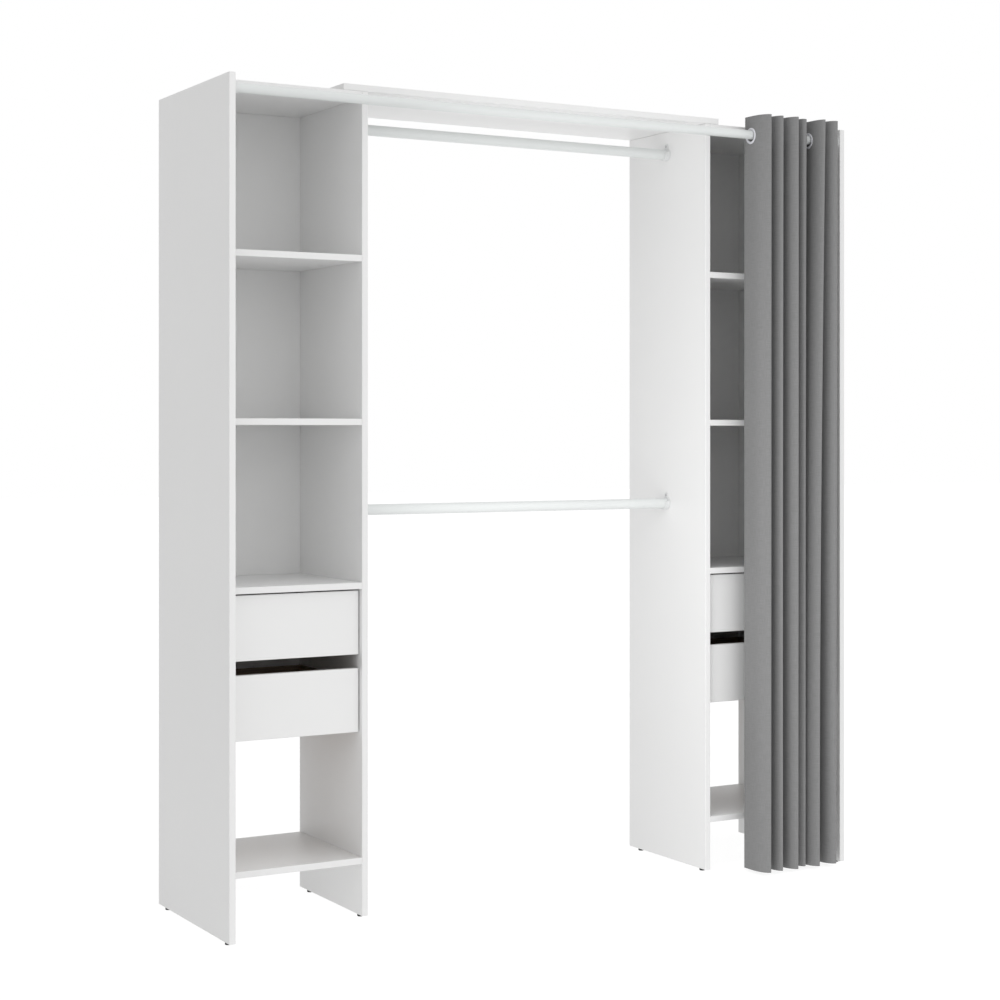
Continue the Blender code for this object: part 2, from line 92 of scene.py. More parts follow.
# How finely round pieces are made
ROUND_SIDES = 72
SMALL_SIDES = 32
SHARP_DEGREES = 30.0
TURNED_MERGE = 0.000005      # points of a turned piece that are closer than this become one
PLATE_MERGE = 0.00001

# Rods and their sockets
TUBE_WALL = 0.0012
ROD_END_ROUND = 0.0004
FIT_GAP = 0.0003             # between a rod and what holds it
SOCKET_WALL = 0.0025
SOCKET_PLATE = 0.003
SOCKET_SOFT = 0.0012         # radius of the plate's edge and of the collar's foot
SOCKET_LIP = 0.0006
SOCKET_SCREW_RADIUS = 0.0018
SOCKET_SCREW_PLACE = 0.0181

# Cradles
CRADLE_ROUND = 0.0005
CRADLE_PLATE = 0.0025
CRADLE_FLANGE = 0.0016
CRADLE_LIP = 0.008           # how far the cup's arms rise at the wall
CRADLE_SHOULDER = 0.007      # where the plate narrows to its tab
CRADLE_HALF_TAB = 0.007
CRADLE_CORNER = 0.003
CRADLE_SCREW_RADIUS = 0.004
CRADLE_SCREW_DROP = 0.007    # under the tab's top
CRADLE_ARC_POINTS = 33
CRADLE_ARM_STEPS = 9

# Screw heads, with the recess's slots as shares of the head's radius
SCREW_HEAD_HEIGHT = 0.0016
SCREW_DOME_FOOT = 12         # degrees up the dome where its edge ends
SCREW_DOME_POINTS = 7
SCREW_RECESS = 0.0009
SCREW_SLOT_LENGTH = 1.15
SCREW_SLOT_WIDTH = 0.26

# Nail heads and glides
NAIL_RADIUS = 0.0024
NAIL_TOP_SHARE = 0.9         # of the radius, which the bevel leaves
NAIL_HEIGHT = 0.0005
NAILS_A_SHELF = 4
NAILED_SHELVES = ("top_panel", "upper_shelf", "middle_shelf", "drawer_shelf")
GLIDE_FROM_FRONT = 0.027
GLIDE_FROM_REAR = 0.048
GLIDE_RADIUS = 0.0078
GLIDE_SHOULDER = 0.0068
GLIDE_UNDER = 0.0003
GLIDE_HEIGHT = 0.0049
GLIDE_EDGE_WIDTH = 0.0008    # of the rounded edge that the glide stands on
GLIDE_EDGE_HEIGHT = 0.0010
GLIDE_TAPER_HEIGHT = 0.0012
GLIDE_TAPER_WIDTH = 0.0004

# Eyelet rings
RING_COUNT = 12
RING_INNER = 0.0155
RING_NECK = 0.0168
RING_FLANGE = 0.0016
RING_GRIP = 0.0009           # half the gap between a ring's flanges, which the cloth fills
RING_RIM_SHARE = 0.985       # of the outer radius, where a flange turns in to the cloth
RING_THROAT_SHARE = 0.8      # of the grip, where the two halves meet in the bore
RING_DOME_FOOT = 8           # degrees up the dome where it meets the rim and the bore
RING_DOME_POINTS = 11

# Curtain, with the folds' sizes as the solid has them. The hem's values are what a fold gains on its way down
FRONT_REACH = (0.0586, 0.0542, 0.0595, 0.0391, 0.0575, 0.0539)
REAR_REACH = 0.0635
LEAN = (0.0112, 0.0066, 0.0089, -0.0035, 0.0026, 0.0097)
LEAN_GAIN_AT_HEM = (-0.0013, -0.0024, 0.0005, 0.0079, 0.0045, -0.0027)
HEM_DRIFT = (0.0, 0.0, 0.0, 0.0, 0.0, -0.002, -0.004, -0.012, -0.028, -0.022, -0.006, 0.0)
SELVEDGE_AT_RING = 0.0255    # behind the rod
SELVEDGE_BELOW_RING = 0.0295
SELVEDGE_FADE = 0.05         # height in which the side edge passes from the one to the other
SWELL = 0.012
SWELL_A_FOLD = 2.3           # radians by which one fold's swell is ahead of the next
SWELL_A_HEIGHT = 3.1         # radians of swell from the hem to the top
RING_HOLD = 0.0125           # how far above its middle a ring holds the side edge in
RING_PRESS = 0.0001          # how far the cloth's middle may stray between a ring's flanges
RING_PRESS_FADE = 0.7        # of a ring's radius, where its grip ends

# How finely the curtain is made, and its hems, eyelets and stitches
FOLD_COLUMNS = 24
SELVEDGE_COLUMNS = (0.0, 0.23, 0.46, 0.49, 0.75)   # shares of the way from the side edge to the first ring
HEADER_ROWS = 20
BODY_ROWS = 44
ROW_SLACK = 0.000001         # share of the height by which a row may miss a seam
NORMAL_STEP = 0.002          # of the way between eyelets, for the cloth's direction
CLOTH_SHARP_DEGREES = 50.0
CLOTH_THICKNESS = 0.0016
SINGLE_SHARE = 0.85          # of a doubled hem's thickness, where the cloth is single
SIDE_HEM_SHARE = 0.475
HEM_HEIGHT = 0.012
HEADER_HEIGHT = 0.075
SEAM_STEP = 0.0006
CLOTH_HOLE = 0.0173
HOLE_SIDES = 64
HOLE_CUTTER_REACH = 0.01     # past the outer eyelets
HEM_STITCH_SHARE = 0.85      # of the hem's height
SIDE_STITCH_SHARE = 0.9      # of the side hem's width
STITCH_PITCH = 0.0038
STITCH_LENGTH = 0.0029
STITCH_WIDTH = 0.00045
STITCH_PROUD = 0.00018


def make_camera():
    data = bpy.data.cameras.new("photo_camera")
    data.lens = LENS
    data.sensor_width = SENSOR
    data.shift_y = HORIZON_SHIFT
    camera = bpy.data.objects.new("photo_camera", data)
    bpy.context.scene.collection.objects.link(camera)
    camera.location = CAMERA_PLACE
    camera.rotation_euler = (math.pi / 2, 0.0, -CAMERA_TURN)
    bpy.context.scene.camera = camera


def add_node(tree, kind, inputs=None, **settings):
    """A new shader node. An input gets a value, or a link where the value is another node's output."""
    node = tree.nodes.new("ShaderNode" + kind)
    for key, value in settings.items():
        setattr(node, key, value)
    for socket, value in (inputs or {}).items():
        if isinstance(value, bpy.types.NodeSocket):
            tree.links.new(value, node.inputs[socket])
        else:
            node.inputs[socket].default_value = value
    return node


def opaque(color):
    return (*color, 1.0)


def shade(color, factor):
    return tuple(part * factor for part in color)


def ease(value):
    """0 up to 0, 1 from 1, and a smooth rise between."""
    value = min(max(value, 0.0), 1.0)
    return value * value * (3.0 - 2.0 * value)


class Finish:
    """A material, with short ways to add the textures that the finishes share."""

    def __init__(self, name, color, roughness, metallic=0.0):
        self.material = bpy.data.materials.new(name)
        self.material.use_nodes = True
        self.tree = self.material.node_tree
        self.shader = self.tree.nodes["Principled BSDF"]
        self.set("Base Color", opaque(color))
        self.set("Roughness", roughness)
        self.set("Metallic", metallic)
        self.color = color
        self.coordinates = self.node("TexCoord")
        self.bumps = None

    def set(self, socket, value):
        self.shader.inputs[socket].default_value = value

    def link(self, output, socket):
        self.tree.links.new(output, self.shader.inputs[socket])

    def node(self, kind, inputs=None, **settings):
        return add_node(self.tree, kind, inputs, **settings)

    def noise(self, scale, detail=2.0, stretch=(1.0, 1.0, 1.0), space="Object"):
        """Noise with features about 1 / scale metres across, or longer where stretch is under 1."""
        place = self.node("Mapping", {"Vector": self.coordinates.outputs[space], "Scale": stretch})
        noise = self.node("TexNoise", {"Vector": place.outputs[0], "Scale": scale, "Detail": detail})
        return noise.outputs["Fac"]

    def cells(self, scale):
        """Cells about 1 / scale metres across."""
        return self.node("TexVoronoi", {"Vector": self.coordinates.outputs["Object"], "Scale": scale})

    def ramp(self, value, low, high, to_low=0.0, to_high=1.0):
        inputs = {"Value": value, "From Min": low, "From Max": high, "To Min": to_low, "To Max": to_high}
        return self.node("MapRange", inputs).outputs["Result"]

    def mix(self, share, first, second):
        """Two colours, or a colour and another's output, mixed by a share."""
        first, second = [opaque(color) if isinstance(color, tuple) else color for color in (first, second)]
        inputs = {MIX_SHARE: share, MIX_FIRST: first, MIX_SECOND: second}
        return self.node("Mix", inputs, data_type="RGBA").outputs[MIX_RESULT]

    def math(self, operation, first, second):
        return self.node("Math", {0: first, 1: second}, operation=operation).outputs[0]

    def faces(self, axis):
        """1 where the surface faces along an axis, and 0 elsewhere."""
        normal = self.node("NewGeometry").outputs["Normal"]
        dot = self.node("VectorMath", {0: normal, 1: axis}, operation="DOT_PRODUCT")
        return self.ramp(dot.outputs["Value"], 0.6, 0.9)

    def tones(self, pattern, low, high, color, dark, light):
        """A colour that goes from a darker to a lighter tone as a pattern goes from low to high."""
        return self.mix(self.ramp(pattern, low, high), shade(color, dark), shade(color, light))

    def mottle(self, share, scale, spread):
        """The finish's colour, a little lighter and darker in soft patches."""
        patches = self.noise(scale, detail=3.0)
        return self.tones(patches, 0.5 - share, 0.5 + share, self.color, 1.0 - spread, 1.0 + spread)

    def vary_roughness(self, pattern, smooth, rough):
        self.link(self.ramp(pattern, 0.3, 0.7, smooth, rough), "Roughness")

    def relief(self, height, distance, strength):
        """Bumps in the surface, laid over those that it has already."""
        inputs = {"Height": height, "Distance": distance, "Strength": strength}
        if self.bumps is not None:
            inputs["Normal"] = self.bumps
        self.bumps = self.node("Bump", inputs).outputs["Normal"]
        self.link(self.bumps, "Normal")


def raw_chipboard(finish):
    """Chips of pressed wood, as on an edge with no band."""
    chips = finish.cells(scale=420.0).outputs["Color"]
    tone = finish.tones(chips, 0.2, 0.8, RAW_BOARD, dark=0.62, light=1.35)
    fibres = finish.ramp(finish.noise(scale=900.0, detail=4.0), 0.35, 0.65)
    return finish.mix(fibres, tone, RAW_BOARD)


def melamine(name, raw_rear=False):
    """Matt white melamine with a fine orange-peel skin."""
    finish = Finish(name, WHITE_BOARD, roughness=0.42)
    color = finish.mottle(share=0.2, scale=2.6, spread=0.008)
    if raw_rear:
        color = finish.mix(finish.faces(REAR), color, raw_chipboard(finish))
    finish.link(color, "Base Color")
    finish.vary_roughness(finish.noise(scale=60.0, detail=3.0), smooth=0.36, rough=0.48)
    finish.relief(finish.noise(scale=1400.0, detail=2.0), distance=0.00006, strength=0.5)
    finish.relief(finish.noise(scale=22.0, detail=1.0), distance=0.00012, strength=0.4)
    return finish.material


def hardboard(name):
    """Thin hardboard: painted white towards the shelves, bare and screened at the rear."""
    finish = Finish(name, WHITE_PAINT, roughness=0.5)
    rear = finish.faces(REAR)
    fibre = finish.noise(scale=260.0, detail=5.0)
    bare = finish.tones(fibre, 0.35, 0.65, RAW_HARDBOARD, dark=0.82, light=1.18)
    paint = finish.mottle(share=0.2, scale=3.1, spread=0.01)
    finish.link(finish.mix(rear, paint, bare), "Base Color")
    finish.link(finish.ramp(rear, 0.0, 1.0, to_low=0.46, to_high=0.82), "Roughness")
    screen = finish.math("MULTIPLY", finish.cells(scale=620.0).outputs["Distance"], rear)
    finish.relief(screen, distance=0.0004, strength=0.6)
    return finish.material


def bare_hardboard(name):
    """The drawers' bottoms: smooth brown hardboard with loose darker fibres."""
    finish = Finish(name, RAW_HARDBOARD, roughness=0.62)
    fibre = finish.noise(scale=180.0, detail=6.0, stretch=(1.0, 0.35, 1.0))
    finish.link(finish.tones(fibre, 0.35, 0.68, RAW_HARDBOARD, dark=0.78, light=1.22), "Base Color")
    finish.relief(finish.noise(scale=700.0, detail=3.0), distance=0.0001, strength=0.5)
    return finish.material


def foil(name):
    """Brown printed foil with a faint grain along the board."""
    finish = Finish(name, BROWN_FOIL, roughness=0.48)
    grain = finish.noise(scale=34.0, detail=6.0, stretch=(0.25, 0.25, 7.0))
    finish.link(finish.tones(grain, 0.34, 0.66, BROWN_FOIL, dark=0.72, light=1.28), "Base Color")
    finish.vary_roughness(grain, smooth=0.42, rough=0.56)
    finish.relief(grain, distance=0.00012, strength=0.5)
    return finish.material


def moulded_plastic(name, color, roughness):
    """Injection-moulded plastic with a fine spark-eroded skin."""
    finish = Finish(name, color, roughness)
    finish.link(finish.mottle(share=0.2, scale=40.0, spread=0.015), "Base Color")
    skin = finish.noise(scale=300.0, detail=3.0)
    finish.vary_roughness(skin, smooth=roughness - 0.05, rough=roughness + 0.07)
    finish.relief(finish.noise(scale=2600.0, detail=2.0), distance=0.00004, strength=0.5)
    return finish.material


def lacquered_tube(name):
    """White lacquer over drawn steel tube: long faint draw lines under a soft gloss."""
    finish = Finish(name, ROD_WHITE, roughness=0.34)
    lines = finish.noise(scale=240.0, detail=4.0, stretch=(0.02, 1.0, 1.0))
    finish.link(finish.tones(lines, 0.35, 0.65, ROD_WHITE, dark=0.985, light=1.0), "Base Color")
    finish.vary_roughness(finish.noise(scale=90.0, detail=3.0), smooth=0.31, rough=0.39)
    finish.set("Coat Weight", 0.25)
    finish.set("Coat Roughness", 0.12)
    finish.relief(lines, distance=0.00002, strength=0.15)
    return finish.material


def bare_steel(name, color, roughness):
    finish = Finish(name, color, roughness, metallic=1.0)
    finish.link(finish.mottle(share=0.15, scale=300.0, spread=0.10), "Base Color")
    wear = finish.noise(scale=900.0, detail=3.0)
    finish.vary_roughness(wear, smooth=roughness - 0.08, rough=roughness + 0.1)
    finish.relief(finish.noise(scale=1800.0, detail=2.0), distance=0.00003, strength=0.4)
    return finish.material


def woven_cloth(name):
    """Grey plain weave. The threads follow the cloth's own flat coordinates, which are in metres."""
    finish = Finish(name, CLOTH_GREY, roughness=0.88)
    wave = {
        "Vector": finish.coordinates.outputs["UV"],
        "Scale": 380.0,
        "Distortion": 0.6,
        "Detail": 1.0,
        "Detail Scale": 2.0,
    }
    warp, weft = [
        finish.node("TexWave", wave, wave_type="BANDS", bands_direction=direction).outputs["Fac"]
        for direction in ("X", "Y")
    ]
    weave = finish.math("MULTIPLY", warp, weft)
    slubs = finish.noise(scale=150.0, detail=3.0, stretch=(6.0, 0.25, 1.0), space="UV")
    picks = finish.noise(scale=150.0, detail=3.0, stretch=(0.25, 6.0, 1.0), space="UV")
    melange = finish.math("ADD", slubs, picks)
    finish.link(finish.tones(melange, 0.82, 1.18, CLOTH_GREY, dark=0.93, light=1.07), "Base Color")
    finish.link(finish.ramp(weave, 0.0, 1.0, to_low=0.94, to_high=0.80), "Roughness")
    finish.set("Sheen Weight", 0.12)
    finish.set("Sheen Roughness", 0.45)
    finish.relief(weave, distance=0.00018, strength=0.5)
    creases = finish.noise(scale=26.0, detail=2.0, stretch=(1.0, 0.3, 1.0), space="UV")
    finish.relief(creases, distance=0.0004, strength=0.25)
    return finish.material


def make_finishes():
    return {
        "carcass": melamine("white_melamine_raw_rear", raw_rear=True),
        "melamine": melamine("white_melamine"),
        "hardboard": hardboard("white_hardboard"),
        "foil": foil("brown_foil"),
        "drawer_bottom": bare_hardboard("brown_hardboard"),
        "runner": moulded_plastic("grey_runner_plastic", RUNNER_GREY, roughness=0.40),
        "rod": lacquered_tube("white_lacquered_tube"),
        "fitting": moulded_plastic("white_fitting_plastic", FITTING_WHITE, roughness=0.36),
        "ring": moulded_plastic("pearl_ring_plastic", RING_PEARL, roughness=0.35),
        "screw": bare_steel("screw_steel", SCREW_STEEL, roughness=0.40),
        "nail": bare_steel("nail_steel", NAIL_STEEL, roughness=0.45),
        "glide": moulded_plastic("black_glide_plastic", GLIDE_BLACK, roughness=0.45),
        "cloth": woven_cloth("grey_woven_cloth"),
        "thread": moulded_plastic("grey_thread", THREAD_GREY, roughness=0.80),
    }


def new_object(name, mesh, material):
    obj = bpy.data.objects.new(name, mesh)
    bpy.context.scene.collection.objects.link(obj)
    mesh.materials.clear()
    mesh.materials.append(material)
    return obj


def mesh_from(name, shape):
    """A mesh from a bmesh, shaded smooth where faces meet at a small angle."""
    bmesh.ops.recalc_face_normals(shape, faces=shape.faces[:])
    mesh = bpy.data.meshes.new(name)
    shape.to_mesh(mesh)
    shape.free()
    mesh.shade_smooth()
    mesh.set_sharp_from_angle(angle=math.radians(SHARP_DEGREES))
    return mesh


def bake_modifiers(obj):
    """Replaces an object's mesh by what its modifiers make of it."""
    bpy.context.view_layer.update()
    graph = bpy.context.evaluated_depsgraph_get()
    mesh = bpy.data.meshes.new_from_object(obj.evaluated_get(graph))
    old = obj.data
    obj.modifiers.clear()
    obj.data = mesh
    bpy.data.meshes.remove(old)
    mesh.name = obj.name


def cut_away(obj, cutter):
    """Cuts the second object's shape out of the first, and removes the second."""
    cut = obj.modifiers.new("cut", "BOOLEAN")
    cut.operation = "DIFFERENCE"
    cut.object = cutter
    bake_modifiers(obj)
    bpy.data.objects.remove(cutter, do_unlink=True)


def middle_of(node):
    low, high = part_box(node)
    return (low + high) / 2


def arc(radius, start_degrees, end_degrees, count):
    angles = [start_degrees + (end_degrees - start_degrees) * i / (count - 1) for i in range(count)]
    return [(radius * math.cos(math.radians(a)), radius * math.sin(math.radians(a))) for a in angles]


def rounded(corner_radius, along_radius, centre, start_degrees, end_degrees, count=5):
    """Points of a small arc in a profile: centre and points are (radius, distance)."""
    points = []
    for across, along in arc(1.0, start_degrees, end_degrees, count):
        points.append((centre[0] + corner_radius * across, centre[1] + along_radius * along))
    return points


def turned(name, profile, material, sides=ROUND_SIDES, closed=False):
    """A profile of (radius, distance) points turned about the X axis.

    An open profile begins and ends on the axis, and a closed one goes round a bore.
    """
    shape = bmesh.new()
    points = [shape.verts.new((along, 0.0, radius)) for radius, along in profile]
    pairs = list(zip(points, points[1:]))
    if closed:
        pairs.append((points[-1], points[0]))
    edges = [shape.edges.new(pair) for pair in pairs]
    bmesh.ops.spin(
        shape, geom=points + edges, cent=(0, 0, 0), axis=(1, 0, 0), angle=2 * math.pi, steps=sides,
        use_merge=True,
    )
    bmesh.ops.remove_doubles(shape, verts=shape.verts[:], dist=TURNED_MERGE)
    return new_object(name, mesh_from(name, shape), material)


def make_rod(node, finishes):
    """A lacquered tube with slightly rolled ends in place of a rod's solid."""
    low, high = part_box(node)
    radius = (high.z - low.z) / 2
    half = (high.x - low.x) / 2
    bore = radius - TUBE_WALL
    rim = radius - ROD_END_ROUND
    end = half - ROD_END_ROUND
    profile = [(bore, -end), (rim, -half), (radius, -end), (radius, end), (rim, half), (bore, end)]
    rod = turned(node + "_tube", profile, finishes["rod"], closed=True)
    rod.location = (low + high) / 2
    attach(rod, "cabinet")
    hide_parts(node)


def screw_slot(name, radius, turn, material):
    """A bar to cut one slot of a screw's cross, turned about the screw's axis."""
    shape = bmesh.new()
    size = (SCREW_RECESS * 2, radius * SCREW_SLOT_WIDTH, radius * SCREW_SLOT_LENGTH)
    bmesh.ops.create_cube(shape, size=1.0)
    bmesh.ops.scale(shape, vec=size, verts=shape.verts[:])
    bmesh.ops.translate(shape, vec=(SCREW_HEAD_HEIGHT, 0.0, 0.0), verts=shape.verts[:])
    bmesh.ops.rotate(shape, cent=(0, 0, 0), matrix=Matrix.Rotation(turn, 3, "X"), verts=shape.verts[:])
    return new_object(name, mesh_from(name, shape), material)


def make_screw(name, place, direction, radius, finishes):
    """A domed screw head with a cross recess. direction is where the head looks, along X."""
    profile = [(0.0, 0.0), (radius, 0.0)]
    profile += rounded(radius, SCREW_HEAD_HEIGHT, (0.0, 0.0), SCREW_DOME_FOOT, 90, SCREW_DOME_POINTS)
    head = turned(name, profile, finishes["screw"], sides=SMALL_SIDES)
    for turn in (math.pi / 4, math.pi * 3 / 4):
        cut_away(head, screw_slot(name + "_cutter", radius, turn, finishes["screw"]))
    head.matrix_world = Matrix.Translation(place) @ Matrix.Rotation(0.0 if direction > 0 else math.pi, 4, "Z")
    return head


def outline_mesh(name, points, thickness, material):
    """A flat outline in the Y-Z plane, given as (across, up) points, as a plate with rounded edges."""
    curve = bpy.data.curves.new(name, "CURVE")
    curve.dimensions = "2D"
    curve.fill_mode = "BOTH"
    curve.extrude = thickness / 2 - CRADLE_ROUND
    curve.bevel_depth = CRADLE_ROUND
    curve.bevel_resolution = 2
    curve.offset = -CRADLE_ROUND
    spline = curve.splines.new("POLY")
    spline.points.add(len(points) - 1)
    for point, (across, up) in zip(spline.points, points):
        point.co = (across, up, 0.0, 1.0)
    spline.use_cyclic_u = True
    source = bpy.data.objects.new(name + "_curve", curve)
    bpy.context.scene.collection.objects.link(source)
    bpy.context.view_layer.update()
    graph = bpy.context.evaluated_depsgraph_get()
    flat = bpy.data.meshes.new_from_object(source.evaluated_get(graph))
    bpy.data.objects.remove(source, do_unlink=True)
    shape = bmesh.new()
    shape.from_mesh(flat)
    bpy.data.meshes.remove(flat)
    bmesh.ops.remove_doubles(shape, verts=shape.verts[:], dist=PLATE_MERGE)
    upright = Matrix.Rotation(math.pi / 2, 4, "Z") @ Matrix.Rotation(math.pi / 2, 4, "X")
    bmesh.ops.transform(shape, matrix=upright, verts=shape.verts[:])
    return new_object(name, mesh_from(name, shape), material)


def curve_arms(cup, depth, side):
    """Lets the cup's two arms fall in a quarter ellipse from the wall to the cup's open front."""
    shape = bmesh.new()
    shape.from_mesh(cup.data)
    for i in range(1, CRADLE_ARM_STEPS):
        place = (depth * (i / CRADLE_ARM_STEPS - 0.5), 0.0, 0.0)
        everything = shape.verts[:] + shape.edges[:] + shape.faces[:]
        bmesh.ops.bisect_plane(shape, geom=everything, plane_co=place, plane_no=(1.0, 0.0, 0.0))
    for vert in shape.verts:
        if vert.co.z > 0.0:
            from_wall = min(max(0.5 - side * vert.co.x / depth, 0.0), 1.0)
            vert.co.z *= math.sqrt(1.0 - from_wall ** 2)
    bmesh.ops.remove_doubles(shape, verts=shape.verts[:], dist=PLATE_MERGE)
    flat = cup.data
    cup.data = mesh_from(flat.name + "_curved", shape)
    cup.data.materials.append(flat.materials[0])
    bpy.data.meshes.remove(flat)


def plate_outline(radius, tab_top):
    """A cradle's plate: half a disc below, which narrows to a tab with cut corners above."""
    right_edge = [
        (radius, CRADLE_SHOULDER),
        (CRADLE_HALF_TAB, CRADLE_SHOULDER + radius - CRADLE_HALF_TAB),
        (CRADLE_HALF_TAB, tab_top - CRADLE_CORNER),
        (CRADLE_HALF_TAB - CRADLE_CORNER, tab_top),
    ]
    left_edge = [(-across, up) for across, up in reversed(right_edge)]
    return arc(radius, 180, 360, CRADLE_ARC_POINTS) + right_edge + left_edge


def cup_outline(outer, inner):
    """A cradle's cup: half a ring below, with an arm up each side."""
    points = [(-outer, CRADLE_LIP)] + arc(outer, 180, 360, CRADLE_ARC_POINTS)
    points += [(outer, CRADLE_LIP), (inner, CRADLE_LIP)]
    return points + arc(inner, 360, 180, CRADLE_ARC_POINTS) + [(-inner, CRADLE_LIP)]


def make_cradle(node, side, finishes):
    """A moulded cradle: a screwed plate, and a cup that opens upwards, in place of the plainer solid."""
    rod = node.split("_rod_")[0] + "_hanging_rod"
    rod_low, rod_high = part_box(rod)
    rod_middle = middle_of(rod)
    rod_radius = (rod_high.z - rod_low.z) / 2
    low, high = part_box(node)
    wall_x = high.x if side > 0 else low.x
    radius = (high.y - low.y) / 2
    outline = plate_outline(radius, high.z - rod_middle.z)
    plate = outline_mesh(node + "_plate", outline, CRADLE_PLATE, finishes["fitting"])
    plate.location = (wall_x - side * CRADLE_PLATE / 2, rod_middle.y, rod_middle.z)
    depth = (high.x - low.x) - CRADLE_PLATE / 2
    outline = cup_outline(radius - CRADLE_FLANGE, rod_radius + FIT_GAP)
    cup = outline_mesh(node + "_cup", outline, depth, finishes["fitting"])
    curve_arms(cup, depth, side)
    cup.location = (wall_x - side * (CRADLE_PLATE / 2 + depth / 2), rod_middle.y, rod_middle.z)
    screw_place = Vector((wall_x - side * CRADLE_PLATE, rod_middle.y, high.z - CRADLE_SCREW_DROP))
    screw = make_screw(node + "_screw_head", screw_place, -side, CRADLE_SCREW_RADIUS, finishes)
    for piece in (plate, cup, screw):
        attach(piece, "cabinet")
    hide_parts(node)


def make_socket(node, side, finishes):
    """A round wall socket with its collar, held by two small screws."""
    low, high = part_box(node)
    radius = (high.z - low.z) / 2
    depth = high.x - low.x
    rod_low, rod_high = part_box("curtain_rod")
    bore = (rod_high.z - rod_low.z) / 2 + FIT_GAP
    collar = bore + SOCKET_WALL
    plate, soft, lip = SOCKET_PLATE, SOCKET_SOFT, SOCKET_LIP
    profile = [(0.0, 0.0), (radius - lip / 2, 0.0), (radius, lip / 2), (radius, plate - soft)]
    profile += rounded(soft, soft, (radius - soft, plate - soft), 0, 90)[1:]
    profile += [(collar + soft, plate)] + rounded(soft, soft, (collar + soft, plate + soft), 270, 180)[1:]
    profile += [(collar, depth - lip)] + rounded(lip, lip, (collar - lip, depth - lip), 0, 90)[1:]
    profile += [(bore + lip, depth), (bore, depth - lip), (bore, plate), (0.0, plate)]
    wall_x = high.x if side > 0 else low.x
    middle = (low + high) / 2
    socket = turned(node + "_flange", profile, finishes["fitting"])
    turn = Matrix.Rotation(math.pi if side > 0 else 0.0, 4, "Z")
    socket.matrix_world = Matrix.Translation((wall_x, middle.y, middle.z)) @ turn
    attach(socket, "cabinet")
    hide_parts(node)
    for level, up in (("lower", -1), ("upper", 1)):
        place = Vector((wall_x - side * plate, middle.y, middle.z + up * SOCKET_SCREW_PLACE))
        screw = make_screw("{}_{}_screw".format(node, level), place, -side, SOCKET_SCREW_RADIUS, finishes)
        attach(screw, "cabinet")


def make_ring(node, body, finishes):
    """An eyelet ring: two domed flanges pressed together round the cloth."""
    low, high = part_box(node)
    outer = (high.z - low.z) / 2
    face = (RING_INNER + outer) / 2
    dome = (outer - RING_INNER) / 2
    rim = outer * RING_RIM_SHARE
    throat = RING_GRIP * RING_THROAT_SHARE
    foot, points = RING_DOME_FOOT, RING_DOME_POINTS
    profile = [(RING_NECK, RING_GRIP), (rim, RING_GRIP)]
    profile += rounded(dome, RING_FLANGE, (face, RING_GRIP), foot, 180 - foot, points)
    profile += [(RING_INNER, throat), (RING_INNER, -throat)]
    profile += rounded(dome, RING_FLANGE, (face, -RING_GRIP), 180 + foot, 360 - foot, points)
    profile += [(rim, -RING_GRIP), (RING_NECK, -RING_GRIP)]
    ring = turned(node + "_flanges", profile, finishes["ring"], closed=True)
    ring.location = (low + high) / 2
    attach(ring, body)
    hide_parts(node)
    return ring


def make_glides(panel, finishes):
    """Two black nailed glides under a side panel, over the solid's own glides."""
    low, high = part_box(panel)
    edge_centre = (GLIDE_SHOULDER, GLIDE_EDGE_HEIGHT - GLIDE_UNDER)
    profile = [(0.0, -GLIDE_UNDER), (GLIDE_SHOULDER, -GLIDE_UNDER)]
    profile += rounded(GLIDE_EDGE_WIDTH, GLIDE_EDGE_HEIGHT, edge_centre, 270, 350)
    profile += [(GLIDE_RADIUS, GLIDE_HEIGHT - GLIDE_TAPER_HEIGHT)]
    profile += [(GLIDE_RADIUS - GLIDE_TAPER_WIDTH, GLIDE_HEIGHT), (0.0, GLIDE_HEIGHT)]
    for place, y in (("front", low.y + GLIDE_FROM_FRONT), ("rear", high.y - GLIDE_FROM_REAR)):
        glide = turned(panel + "_glide_" + place, profile, finishes["glide"], sides=SMALL_SIDES)
        upright = Matrix.Rotation(-math.pi / 2, 4, "Y")
        glide.matrix_world = Matrix.Translation(((low.x + high.x) / 2, y, 0.0)) @ upright
        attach(glide, "cabinet")


def make_back_nails(side_name, finishes):
    """The flat nail heads that hold a back to the shelves' rear edges."""
    low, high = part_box(side_name + "_back_panel")
    top_radius = NAIL_RADIUS * NAIL_TOP_SHARE
    profile = [(0.0, 0.0), (NAIL_RADIUS, 0.0), (top_radius, NAIL_HEIGHT), (0.0, NAIL_HEIGHT)]
    for shelf in NAILED_SHELVES:
        z = middle_of(side_name + "_" + shelf).z
        for i in range(NAILS_A_SHELF):
            x = low.x + (high.x - low.x) * (i + 0.5) / NAILS_A_SHELF
            name = "{}_back_nail_{}_{}".format(side_name, shelf, i + 1)
            nail = turned(name, profile, finishes["nail"], sides=SMALL_SIDES)
            nail.matrix_world = Matrix.Translation((x, high.y, z)) @ Matrix.Rotation(math.pi / 2, 4, "Z")
            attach(nail, "cabinet")


def ring_node(number):
    return "curtain_ring_{:02d}".format(number)


